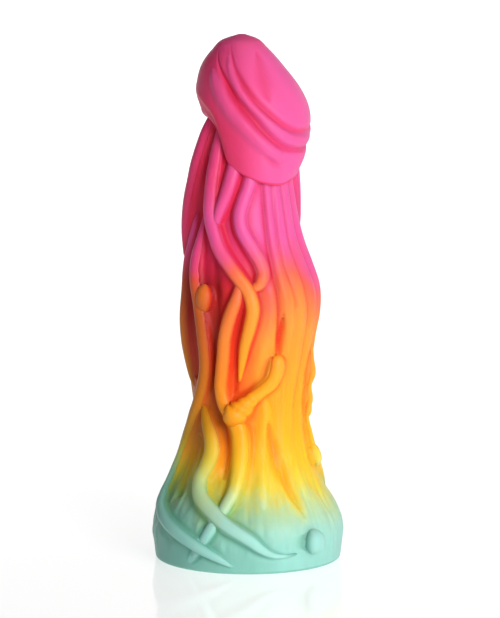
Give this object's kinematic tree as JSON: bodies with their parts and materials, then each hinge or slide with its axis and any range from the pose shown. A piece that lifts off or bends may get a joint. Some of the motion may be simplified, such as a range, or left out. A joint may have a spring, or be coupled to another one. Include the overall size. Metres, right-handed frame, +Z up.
{
  "type": "cast silicone adult toy",
  "caption": "Adult product: fantasy-style silicone dildo with a flared foot, waisted column and tilted cap, covered in tentacle-like strands, poured pink to aqua.",
  "frame": {"origin": "centre of the foot's underside, on the surface that it stands on", "axes": "+Z up the column to the cap's crown, -Y out of the front, where the knotted strand is"},
  "size_m": [0.0785, 0.0838, 0.212],
  "materials": {
    "pink_silicone": "satin",
    "orange_silicone": "satin",
    "yellow_silicone": "satin",
    "aqua_silicone": "satin"
  },
  "bodies": {
    "root": {"cap": "pink_silicone", "cap_lower_fold": "pink_silicone", "cap_upper_fold": "pink_silicone", "cap_rear_fold": "pink_silicone", "brow_strand": "pink_silicone", "looped_strand": "pink_silicone", "left_shoulder_strand": "pink_silicone", "column": "orange_silicone", "front_left_strand": "orange_silicone", "broad_strap": "orange_silicone", "right_strand_inner": "orange_silicone", "right_strand_middle": "orange_silicone", "right_strand_outer": "orange_silicone", "right_flank_strand": "orange_silicone", "left_flank_strand": "orange_silicone", "left_rear_strap": "orange_silicone", "rear_strap": "orange_silicone", "back_right_strand": "orange_silicone", "back_centre_strand": "orange_silicone", "back_left_strand": "orange_silicone", "back_looped_strand": "orange_silicone", "back_cross_strand": "orange_silicone", "left_nodule": "orange_silicone", "rear_nodule": "orange_silicone", "rear_waist_nodule": "orange_silicone", "centre_strand": "yellow_silicone", "curling_strand": "yellow_silicone", "knotted_strand": "yellow_silicone", "waist_ridge": "yellow_silicone", "right_hip_strand": "yellow_silicone", "left_long_strand": "yellow_silicone", "right_hip_nodule": "yellow_silicone", "right_waist_nodule": "yellow_silicone", "foot": "aqua_silicone", "foot_nodule": "aqua_silicone", "rear_foot_nodule": "aqua_silicone"}
  },
  "joints": []
}
